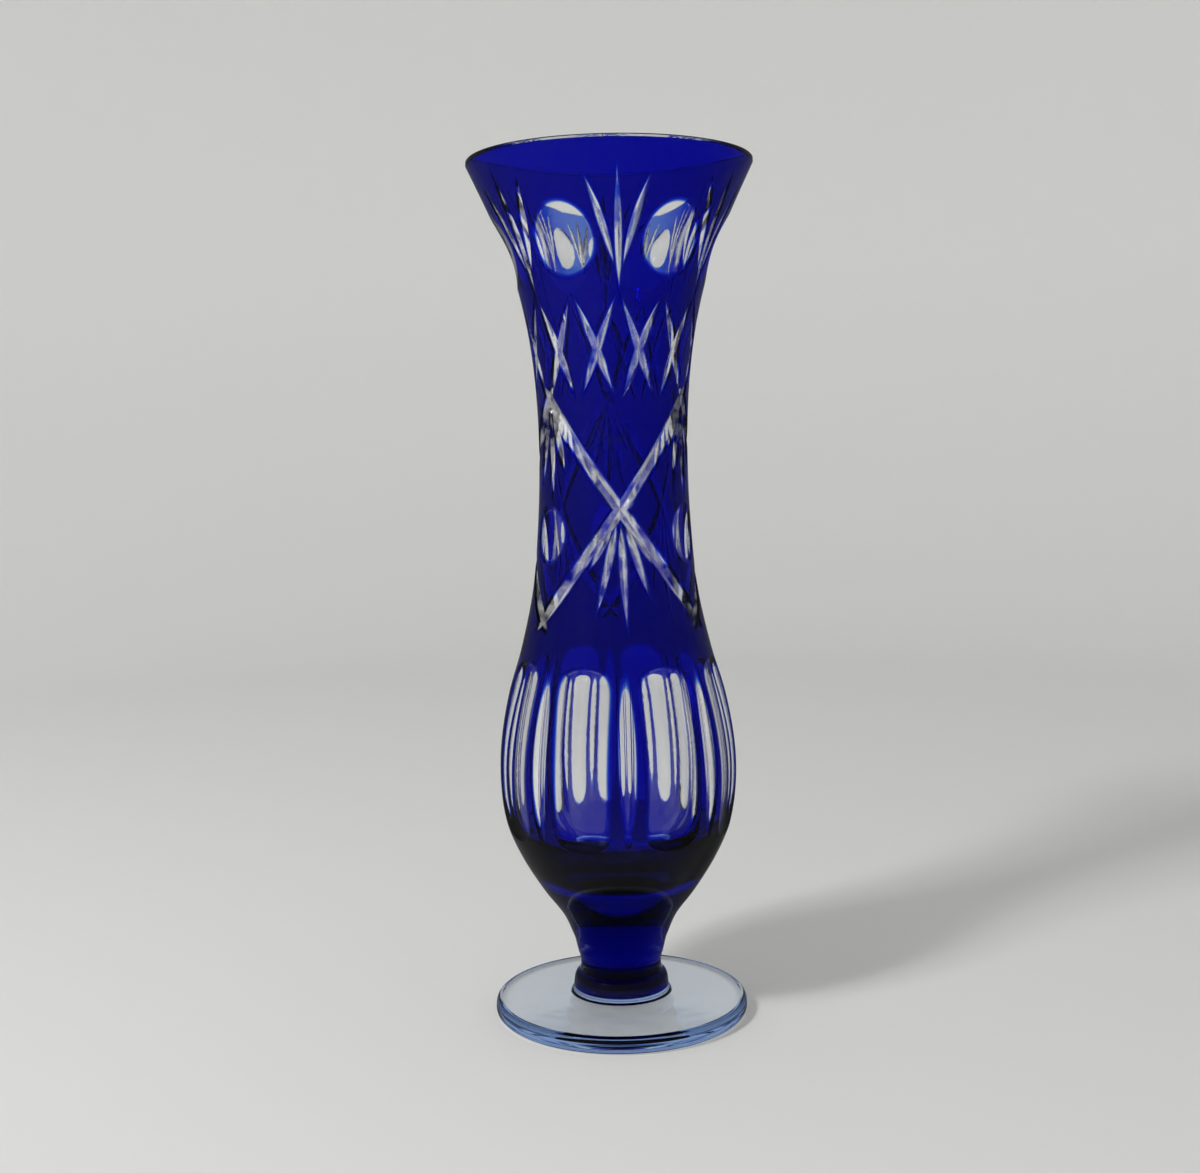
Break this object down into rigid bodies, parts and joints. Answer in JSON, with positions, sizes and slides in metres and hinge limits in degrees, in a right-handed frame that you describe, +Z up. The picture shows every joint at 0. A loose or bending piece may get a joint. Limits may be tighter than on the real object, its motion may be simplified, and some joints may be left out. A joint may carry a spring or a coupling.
{
  "type": "footed cut glass vase",
  "caption": "Tall footed bud vase of clear crystal under a cobalt casing cut through in printies, fans, crosses, a lattice and long bulb flutes.",
  "frame": {"origin": "centre of the flat underside of the foot, on the surface the vase stands on", "axes": "+Z up along the vase's axis to the rim, -Y towards the front crossing of the lattice, +X to the viewer's right"},
  "size_m": [0.0826, 0.0826, 0.25],
  "materials": {
    "clear_crystal": "polished clear crystal with bright polished cuts",
    "cobalt_casing": "thin polished cobalt blue casing",
    "cobalt_stem": "solid deep cobalt blue glass with faint tooling rings",
    "dark_collar": "blue glass so thick that it reads as black",
    "clear_foot": "fire-polished clear glass with a faint blue cast at the edge"
  },
  "bodies": {
    "root": {"clear_vessel": "clear_crystal", "throat_casing": "cobalt_casing", "waist_diamond_1": "cobalt_casing", "waist_diamond_2": "cobalt_casing", "waist_diamond_3": "cobalt_casing", "bulb_casing": "cobalt_casing", "stem": "cobalt_stem", "collar": "dark_collar", "foot": "clear_foot"}
  },
  "joints": []
}
